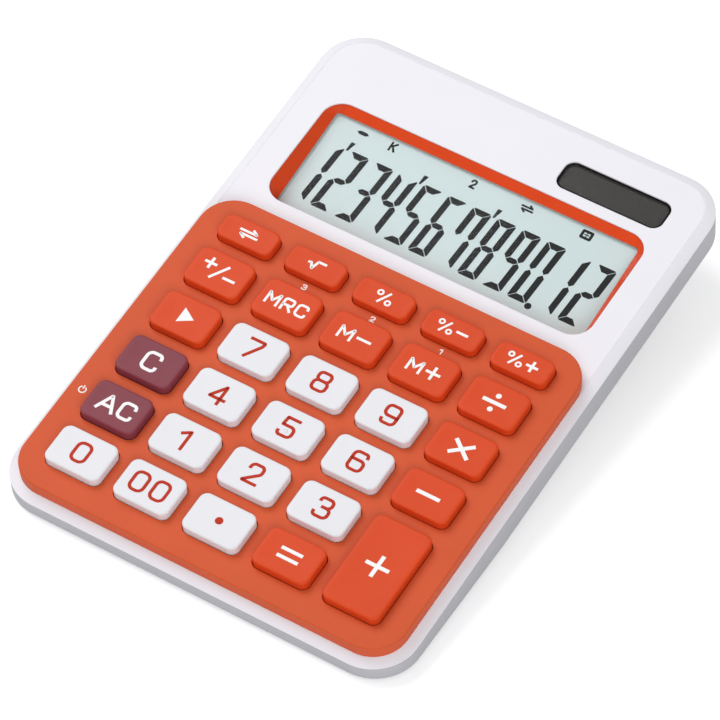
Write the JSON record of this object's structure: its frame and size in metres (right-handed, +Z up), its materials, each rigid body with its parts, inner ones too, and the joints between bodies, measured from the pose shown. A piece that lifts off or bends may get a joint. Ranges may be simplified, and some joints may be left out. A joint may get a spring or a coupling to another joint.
{
  "type": "desk calculator",
  "caption": "Desk calculator on a raised rear stand, with a white and grey casing, an orange keypad panel, a liquid crystal display and a solar cell.",
  "frame": {"origin": "centre of the bounding box's underside, on the desk plane through the four feet", "axes": "+Z up from the desk, +Y from the front edge towards the display, +X to the right as it is read"},
  "size_m": [0.1046, 0.1504, 0.0221],
  "materials": {
    "white_plastic": "satin",
    "grey_plastic": "satin",
    "orange_panel": "matte",
    "orange_bezel": "satin",
    "orange_key": "satin",
    "white_key": "satin",
    "purple_key": "satin",
    "clear_acrylic": "gloss",
    "lcd_glass": "gloss",
    "silver_film": "satin",
    "natural_plastic": "satin",
    "amber_film": "satin",
    "solar_glass": "gloss",
    "red_wire": "satin",
    "black_wire": "satin",
    "circuit_board": "satin",
    "black_epoxy": "gloss",
    "capacitor_sleeve": "satin",
    "carbon_ink": "matte",
    "silicone_rubber": "matte",
    "cell_steel": "satin",
    "spring_steel": "satin",
    "screw_steel": "satin",
    "black_rubber": "matte"
  },
  "bodies": {
    "casing": {"battery_cover": "grey_plastic", "battery_cover_screw": "screw_steel", "battery_side_contact": "spring_steel", "battery_top_contact": "spring_steel", "board_screws": "screw_steel", "button_cell": "cell_steel", "capacitor": "capacitor_sleeve", "case_screws": "screw_steel", "circuit_board": "circuit_board", "contact_pads": "carbon_ink", "contact_pills": "carbon_ink", "display_bezel": "orange_bezel", "display_ribbon": "amber_film", "display_window": "clear_acrylic", "face_panel": "orange_panel", "front_feet": "black_rubber", "key_mat": "silicone_rubber", "lcd_glass": "lcd_glass", "lcd_reflector": "silver_film", "lcd_tray": "natural_plastic", "lcd_tray_screws": "screw_steel", "lower_casing": "grey_plastic", "processor_chip": "black_epoxy", "rear_feet": "black_rubber", "rear_legs": "grey_plastic", "solar_cell": "solar_glass", "solar_window": "clear_acrylic", "solar_wire_black": "black_wire", "solar_wire_red": "red_wire", "upper_casing": "white_plastic"},
    "key_0": {"key_0": "white_key"},
    "key_00": {"key_00": "white_key"},
    "key_1": {"key_1": "white_key"},
    "key_2": {"key_2": "white_key"},
    "key_3": {"key_3": "white_key"},
    "key_4": {"key_4": "white_key"},
    "key_5": {"key_5": "white_key"},
    "key_6": {"key_6": "white_key"},
    "key_7": {"key_7": "white_key"},
    "key_8": {"key_8": "white_key"},
    "key_9": {"key_9": "white_key"},
    "key_all_clear": {"key_all_clear": "purple_key"},
    "key_clear": {"key_clear": "purple_key"},
    "key_divide": {"key_divide": "orange_key"},
    "key_equals": {"key_equals": "orange_key"},
    "key_memory_minus": {"key_memory_minus": "orange_key"},
    "key_memory_plus": {"key_memory_plus": "orange_key"},
    "key_memory_recall": {"key_memory_recall": "orange_key"},
    "key_memory_swap": {"key_memory_swap": "orange_key"},
    "key_minus": {"key_minus": "orange_key"},
    "key_percent": {"key_percent": "orange_key"},
    "key_plus": {"key_plus": "orange_key"},
    "key_point": {"key_point": "white_key"},
    "key_rate_minus": {"key_rate_minus": "orange_key"},
    "key_rate_plus": {"key_rate_plus": "orange_key"},
    "key_root": {"key_root": "orange_key"},
    "key_shift_right": {"key_shift_right": "orange_key"},
    "key_sign": {"key_sign": "orange_key"},
    "key_times": {"key_times": "orange_key"}
  },
  "joints": [
    {"name": "key_0_press", "type": "slide", "parent": "casing", "child": "key_0", "axis": [0, 0.1149, -0.9934], "range_m": [0, 0.0012], "stiffness_N_per_m": 400, "springref_m": -0.0005, "deforming": ["key_mat"]},
    {"name": "key_00_press", "type": "slide", "parent": "casing", "child": "key_00", "axis": [0, 0.1149, -0.9934], "range_m": [0, 0.0012], "stiffness_N_per_m": 400, "springref_m": -0.0005, "deforming": ["key_mat"]},
    {"name": "key_1_press", "type": "slide", "parent": "casing", "child": "key_1", "axis": [0, 0.1149, -0.9934], "range_m": [0, 0.0012], "stiffness_N_per_m": 400, "springref_m": -0.0005, "deforming": ["key_mat"]},
    {"name": "key_2_press", "type": "slide", "parent": "casing", "child": "key_2", "axis": [0, 0.1149, -0.9934], "range_m": [0, 0.0012], "stiffness_N_per_m": 400, "springref_m": -0.0005, "deforming": ["key_mat"]},
    {"name": "key_3_press", "type": "slide", "parent": "casing", "child": "key_3", "axis": [0, 0.1149, -0.9934], "range_m": [0, 0.0012], "stiffness_N_per_m": 400, "springref_m": -0.0005, "deforming": ["key_mat"]},
    {"name": "key_4_press", "type": "slide", "parent": "casing", "child": "key_4", "axis": [0, 0.1149, -0.9934], "range_m": [0, 0.0012], "stiffness_N_per_m": 400, "springref_m": -0.0005, "deforming": ["key_mat"]},
    {"name": "key_5_press", "type": "slide", "parent": "casing", "child": "key_5", "axis": [0, 0.1149, -0.9934], "range_m": [0, 0.0012], "stiffness_N_per_m": 400, "springref_m": -0.0005, "deforming": ["key_mat"]},
    {"name": "key_6_press", "type": "slide", "parent": "casing", "child": "key_6", "axis": [0, 0.1149, -0.9934], "range_m": [0, 0.0012], "stiffness_N_per_m": 400, "springref_m": -0.0005, "deforming": ["key_mat"]},
    {"name": "key_7_press", "type": "slide", "parent": "casing", "child": "key_7", "axis": [0, 0.1149, -0.9934], "range_m": [0, 0.0012], "stiffness_N_per_m": 400, "springref_m": -0.0005, "deforming": ["key_mat"]},
    {"name": "key_8_press", "type": "slide", "parent": "casing", "child": "key_8", "axis": [0, 0.1149, -0.9934], "range_m": [0, 0.0012], "stiffness_N_per_m": 400, "springref_m": -0.0005, "deforming": ["key_mat"]},
    {"name": "key_9_press", "type": "slide", "parent": "casing", "child": "key_9", "axis": [0, 0.1149, -0.9934], "range_m": [0, 0.0012], "stiffness_N_per_m": 400, "springref_m": -0.0005, "deforming": ["key_mat"]},
    {"name": "key_all_clear_press", "type": "slide", "parent": "casing", "child": "key_all_clear", "axis": [0, 0.1149, -0.9934], "range_m": [0, 0.0012], "stiffness_N_per_m": 400, "springref_m": -0.0005, "deforming": ["key_mat"]},
    {"name": "key_clear_press", "type": "slide", "parent": "casing", "child": "key_clear", "axis": [0, 0.1149, -0.9934], "range_m": [0, 0.0012], "stiffness_N_per_m": 400, "springref_m": -0.0005, "deforming": ["key_mat"]},
    {"name": "key_divide_press", "type": "slide", "parent": "casing", "child": "key_divide", "axis": [0, 0.1149, -0.9934], "range_m": [0, 0.0012], "stiffness_N_per_m": 400, "springref_m": -0.0005, "deforming": ["key_mat"]},
    {"name": "key_equals_press", "type": "slide", "parent": "casing", "child": "key_equals", "axis": [0, 0.1149, -0.9934], "range_m": [0, 0.0012], "stiffness_N_per_m": 400, "springref_m": -0.0005, "deforming": ["key_mat"]},
    {"name": "key_memory_minus_press", "type": "slide", "parent": "casing", "child": "key_memory_minus", "axis": [0, 0.1149, -0.9934], "range_m": [0, 0.0012], "stiffness_N_per_m": 400, "springref_m": -0.0005, "deforming": ["key_mat"]},
    {"name": "key_memory_plus_press", "type": "slide", "parent": "casing", "child": "key_memory_plus", "axis": [0, 0.1149, -0.9934], "range_m": [0, 0.0012], "stiffness_N_per_m": 400, "springref_m": -0.0005, "deforming": ["key_mat"]},
    {"name": "key_memory_recall_press", "type": "slide", "parent": "casing", "child": "key_memory_recall", "axis": [0, 0.1149, -0.9934], "range_m": [0, 0.0012], "stiffness_N_per_m": 400, "springref_m": -0.0005, "deforming": ["key_mat"]},
    {"name": "key_memory_swap_press", "type": "slide", "parent": "casing", "child": "key_memory_swap", "axis": [0, 0.1149, -0.9934], "range_m": [0, 0.0012], "stiffness_N_per_m": 400, "springref_m": -0.0005, "deforming": ["key_mat"]},
    {"name": "key_minus_press", "type": "slide", "parent": "casing", "child": "key_minus", "axis": [0, 0.1149, -0.9934], "range_m": [0, 0.0012], "stiffness_N_per_m": 400, "springref_m": -0.0005, "deforming": ["key_mat"]},
    {"name": "key_percent_press", "type": "slide", "parent": "casing", "child": "key_percent", "axis": [0, 0.1149, -0.9934], "range_m": [0, 0.0012], "stiffness_N_per_m": 400, "springref_m": -0.0005, "deforming": ["key_mat"]},
    {"name": "key_plus_press", "type": "slide", "parent": "casing", "child": "key_plus", "axis": [0, 0.1149, -0.9934], "range_m": [0, 0.0012], "stiffness_N_per_m": 400, "springref_m": -0.0005, "deforming": ["key_mat"]},
    {"name": "key_point_press", "type": "slide", "parent": "casing", "child": "key_point", "axis": [0, 0.1149, -0.9934], "range_m": [0, 0.0012], "stiffness_N_per_m": 400, "springref_m": -0.0005, "deforming": ["key_mat"]},
    {"name": "key_rate_minus_press", "type": "slide", "parent": "casing", "child": "key_rate_minus", "axis": [0, 0.1149, -0.9934], "range_m": [0, 0.0012], "stiffness_N_per_m": 400, "springref_m": -0.0005, "deforming": ["key_mat"]},
    {"name": "key_rate_plus_press", "type": "slide", "parent": "casing", "child": "key_rate_plus", "axis": [0, 0.1149, -0.9934], "range_m": [0, 0.0012], "stiffness_N_per_m": 400, "springref_m": -0.0005, "deforming": ["key_mat"]},
    {"name": "key_root_press", "type": "slide", "parent": "casing", "child": "key_root", "axis": [0, 0.1149, -0.9934], "range_m": [0, 0.0012], "stiffness_N_per_m": 400, "springref_m": -0.0005, "deforming": ["key_mat"]},
    {"name": "key_shift_right_press", "type": "slide", "parent": "casing", "child": "key_shift_right", "axis": [0, 0.1149, -0.9934], "range_m": [0, 0.0012], "stiffness_N_per_m": 400, "springref_m": -0.0005, "deforming": ["key_mat"]},
    {"name": "key_sign_press", "type": "slide", "parent": "casing", "child": "key_sign", "axis": [0, 0.1149, -0.9934], "range_m": [0, 0.0012], "stiffness_N_per_m": 400, "springref_m": -0.0005, "deforming": ["key_mat"]},
    {"name": "key_times_press", "type": "slide", "parent": "casing", "child": "key_times", "axis": [0, 0.1149, -0.9934], "range_m": [0, 0.0012], "stiffness_N_per_m": 400, "springref_m": -0.0005, "deforming": ["key_mat"]}
  ]
}
